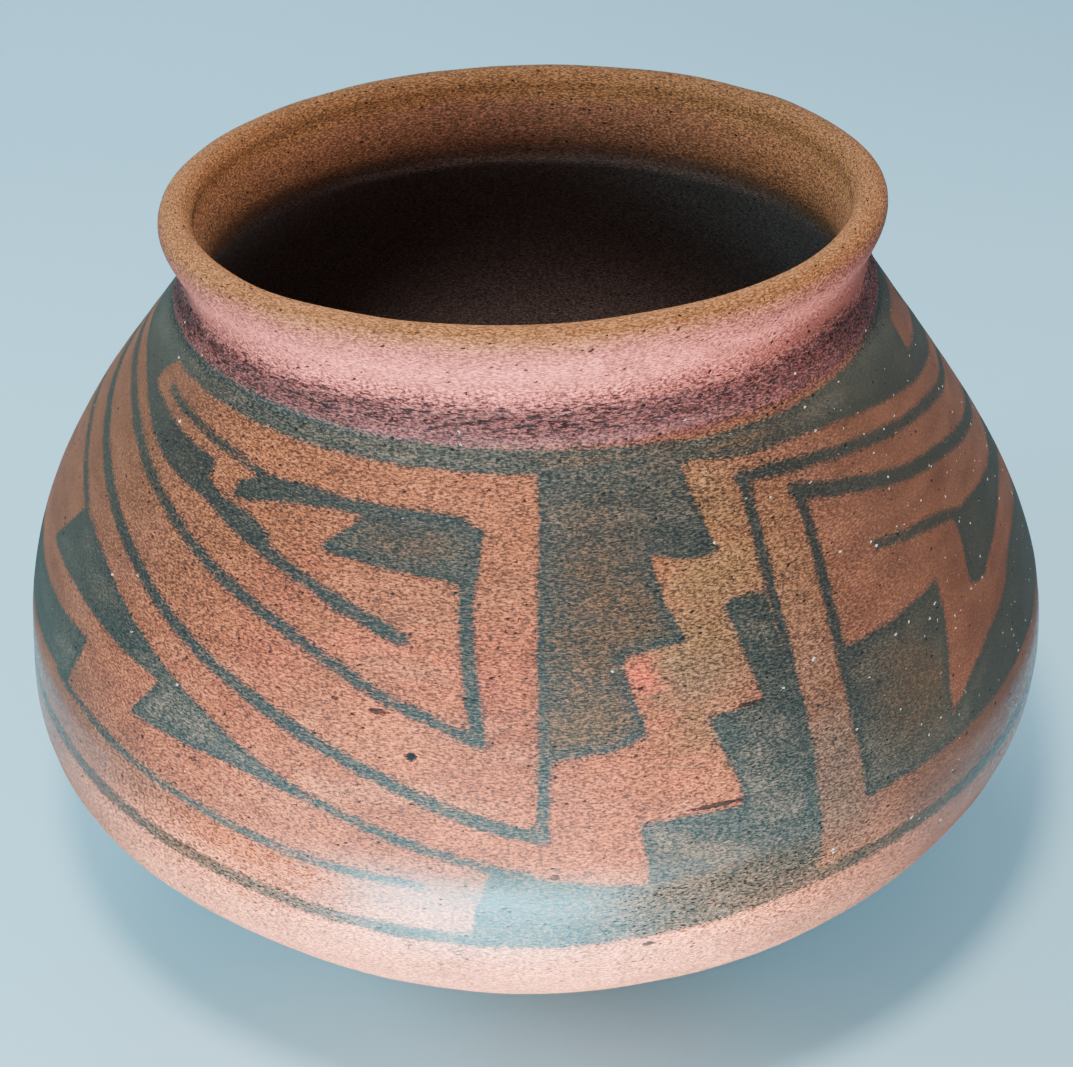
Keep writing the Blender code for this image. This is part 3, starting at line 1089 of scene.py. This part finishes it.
def clay_material():
    n = Nodes("painted_clay")
    skin = n.stored("skin", "Vector")
    drop = n.stored("drop")
    rugged = n.stored("rugged")
    tears = n.stored("tears")
    grain = n.noise(n.scaled(skin, GRAIN_SCALE), 2, 0.70)
    fine = n.noise(n.scaled(skin, FINE_SCALE), 2, 0.6)
    cracks = n.noise(n.scaled(skin, CRACK_SCALE), 2, 0.65)

    # Slip and paint, with a ragged edge and rubbed places
    ragged = n.plus(
        n.stored("paint_distance"),
        n.times(n.math("SUBTRACT", grain, 0.5), 1.8),
        n.times(n.math("SUBTRACT", fine, 0.5), 1.4),
    )
    covered = n.ramp(ragged, *PAINT_EDGE, 1.0, 0.0)
    worn = n.plus(grain, n.times(fine, 0.6), n.times(n.stored("thin"), 0.08))
    rubbed = n.times(n.ramp(worn, 0.88, 1.12, 0.0, MOST_RUBBED), rugged)
    covered = n.times(covered, n.math("SUBTRACT", MOST_COVER, rubbed))
    body = n.mix(covered, n.stored("clay", "Color"), n.stored("paint", "Color"))

    # Light and dark flecks
    coarse_flecks = n.ramp(grain, 0.38, 0.62, 0.26, 1.74)
    fine_flecks = n.ramp(fine, 0.37, 0.63, 0.50, 1.50)
    flecks = n.math("SUBTRACT", n.times(coarse_flecks, fine_flecks), 1.0)
    flecks = n.plus(1.0, n.times(flecks, rugged))
    body = n.mix(1.0, body, n.grey(flecks), "MULTIPLY")

    # Pits, chips and cracks, darkened with painted shade inside them
    shift = n.triple(n.times(grain, 2.4), n.times(fine, 1.6), n.times(grain, -1.6))
    distance, chance = n.spots(n.scaled(n.moved(skin, shift), SPOT_SCALE))
    kind, size, _ = n.channels(chance)
    pit_edge = n.ramp(size, 0.2, 1.0, 0.03, 0.24)
    pit = n.ramp(n.math("SUBTRACT", distance, pit_edge), 0.0, SPOT_SOFTNESS, 1.0, 0.0)
    pit_share = n.plus(n.times(rugged, COARSE_PITS), PIT_SHARE)
    pit = n.times(pit, n.math("LESS_THAN", kind, pit_share))
    chips = chip_depth(n, fine)
    torn = n.ramp(n.plus(cracks, n.times(tears, 0.15)), 0.655, 0.725)
    torn = n.times(torn, n.ramp(tears, 0.05, 0.25))
    holes = n.math("MAXIMUM", n.math("MAXIMUM", pit, chips), n.times(torn, 0.85))
    body = n.mix(holes, body, (*HOLE_SHADE, 1))

    # Pale specks of temper
    speck_from = n.math("SUBTRACT", 1 - SPECK_SHARE, n.times(n.stored("stony"), STONY_SPECKS))
    speck_edge = n.ramp(size, 0.0, 1.0, 0.07, 0.21)
    speck = n.ramp(n.math("SUBTRACT", distance, speck_edge), 0.0, SPOT_SOFTNESS, 1.0, 0.0)
    speck = n.times(speck, n.math("GREATER_THAN", kind, speck_from), n.ramp(drop, *SPECK_TOP))
    body = n.mix(n.times(speck, 0.9), body, (*TEMPER_WHITE, 1))
    n.put(n.shader.inputs["Base Color"], body)

    # Dull clay with a streaky burnished band
    burnish = n.times(n.ramp(drop, *BURNISH_TOP), n.ramp(drop, *BURNISH_FOOT))
    polish = n.times(burnish, n.ramp(cracks, 0.40, 0.62, 0.38, 0.64))
    rough = n.math("SUBTRACT", n.ramp(grain, 0.3, 0.7, 0.78, 0.94), polish)
    n.put(n.shader.inputs["Roughness"], n.plus(rough, n.times(holes, 0.2)))
    n.shader.inputs["Specular IOR Level"].default_value = SPECULAR

    # Relief
    grit = n.plus(n.times(grain, GRAIN_HEIGHT), n.times(fine, FINE_HEIGHT))
    height = n.plus(
        n.times(grit, n.math("SUBTRACT", 1.0, n.times(burnish, 0.7))),
        n.times(speck, SPECK_HEIGHT),
        n.times(pit, -PIT_DEPTH),
        n.times(chips, -CHIP_DEPTH),
        n.times(torn, -CRACK_DEPTH),
    )
    n.put(n.shader.inputs["Normal"], n.bump(height))
    return n.material


# Surroundings

# The floor in metres: its reach to the sides, and where it bends up behind and how widely
FLOOR_REACH = 3.0
FLOOR_BACK = 1.35
FLOOR_BEND = 0.6
BEND_STEPS = 16
FLOOR_COLOUR = (0.35, 0.66, 0.82)
FLOOR_ROUGHNESS = 0.7
WORLD_COLOUR = (0.93, 0.91, 0.92)
WORLD_STRENGTH = 0.69

# Round lamps: name, place, size, watts, colour, and the point each faces. The low front lamp
# lights the belly from below without a reflection, and the blue card is a reflection alone.
LAMPS = (
    ("key", (-0.05, -0.28, 0.68), 0.11, 5.6, (1.0, 0.97, 0.93), (0.0, 0.0, 0.1)),
    ("left_fill", (-1.0, -0.2, 0.7), 0.5, 12.5, (0.46, 0.88, 1.0), (-0.4, 0.1, 0.0)),
    ("right_fill", (0.9, 0.25, 0.5), 0.5, 3.5, (0.75, 0.90, 1.0), (0.2, 0.0, 0.0)),
    ("back_light", (-0.5, 1.2, 1.3), 0.9, 13.0, (0.74, 0.94, 1.0), (-0.1, 0.9, 0.0)),
    ("low_front", (-0.03, -0.36, 0.004), 0.22, 11.0, (1.0, 0.97, 0.95), (-0.03, -0.33, 1.0)),
    ("blue_card", (-0.04, -0.285, 0.004), 0.20, 17.0, (0.15, 0.76, 1.0), (-0.02, -0.148, 0.09)),
)


def add_floor():
    rows = [(-FLOOR_REACH, 0.0)]
    for step in range(BEND_STEPS + 1):
        angle = math.radians(90 * step / BEND_STEPS)
        across = FLOOR_BEND * math.sin(angle)
        rows.append((FLOOR_BACK + across, FLOOR_BEND - FLOOR_BEND * math.cos(angle)))
    rows.append((FLOOR_BACK + FLOOR_BEND, FLOOR_REACH))
    points = [(x, y, z) for y, z in rows for x in (-FLOOR_REACH, FLOOR_REACH)]
    faces = [(2 * i, 2 * i + 1, 2 * i + 3, 2 * i + 2) for i in range(len(rows) - 1)]
    mesh = bpy.data.meshes.new("floor")
    mesh.from_pydata(points, [], faces)
    mesh.shade_smooth()
    floor = bpy.data.objects.new("floor", mesh)
    bpy.context.scene.collection.objects.link(floor)
    material = bpy.data.materials.new("pale_floor")
    material.use_nodes = True
    shader = material.node_tree.nodes["Principled BSDF"]
    shader.inputs["Base Color"].default_value = (*FLOOR_COLOUR, 1)
    shader.inputs["Roughness"].default_value = FLOOR_ROUGHNESS
    mesh.materials.append(material)


def add_lamp(name, place, size, watts, colour, aim):
    light = bpy.data.lights.new(name, "AREA")
    light.shape = "DISK"
    light.size = size
    light.energy = watts
    light.color = colour
    lamp = bpy.data.objects.new(name, light)
    lamp.location = place
    lamp.rotation_mode = "QUATERNION"
    lamp.rotation_quaternion = (Vector(aim) - Vector(place)).to_track_quat("-Z", "Y")
    bpy.context.scene.collection.objects.link(lamp)
    return lamp


def add_lights():
    world = bpy.data.worlds.new("studio")
    world.use_nodes = True
    background = world.node_tree.nodes["Background"]
    background.inputs["Color"].default_value = (*WORLD_COLOUR, 1)
    background.inputs["Strength"].default_value = WORLD_STRENGTH
    bpy.context.scene.world = world
    lamps = {name: add_lamp(name, *settings) for name, *settings in LAMPS}
    lamps["low_front"].visible_camera = False
    lamps["low_front"].visible_glossy = False
    lamps["blue_card"].visible_camera = False
    lamps["blue_card"].visible_diffuse = False


# The camera, found from the jar's outline in the photograph

PHOTO_WIDTH = 1073
FOCAL_PIXELS = 1700.0
SENSOR_WIDTH = 36.0
CAMERA_DISTANCE = 0.525
CAMERA_ELEVATION = 35.51
CAMERA_YAW = -0.14
CAMERA_PITCH = 1.68
CAMERA_ROLL = 0.49


def turned(axes, axis, degrees):
    turn = Matrix.Rotation(math.radians(degrees), 3, axis)
    return [turn @ vector for vector in axes]


def add_camera():
    """The camera looks at the middle of the widest level, then turns a little off it."""
    elevation = math.radians(CAMERA_ELEVATION)
    away = Vector((0, -math.cos(elevation), math.sin(elevation)))
    axes = [Vector((1, 0, 0)), Vector((1, 0, 0)).cross(-away), -away]
    axes = turned(axes, axes[1], CAMERA_YAW)
    axes = turned(axes, axes[0], CAMERA_PITCH)
    right, up, forward = turned(axes, axes[2], CAMERA_ROLL)
    lens = bpy.data.cameras.new("camera")
    lens.sensor_width = SENSOR_WIDTH
    lens.lens = FOCAL_PIXELS * SENSOR_WIDTH / PHOTO_WIDTH
    lens.clip_start = 0.01
    lens.clip_end = 20
    camera = bpy.data.objects.new("camera", lens)
    place = away * CAMERA_DISTANCE + Vector((0, 0, WIDEST_HEIGHT * MM))
    facing = Matrix((right, up, -forward)).transposed().to_4x4()
    camera.matrix_world = Matrix.Translation(place) @ facing
    bpy.context.scene.collection.objects.link(camera)
    bpy.context.scene.camera = camera


jar = make_jar()
jar.data.materials.append(clay_material())
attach(jar, "root")
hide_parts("jar")
add_floor()
add_lights()
add_camera()
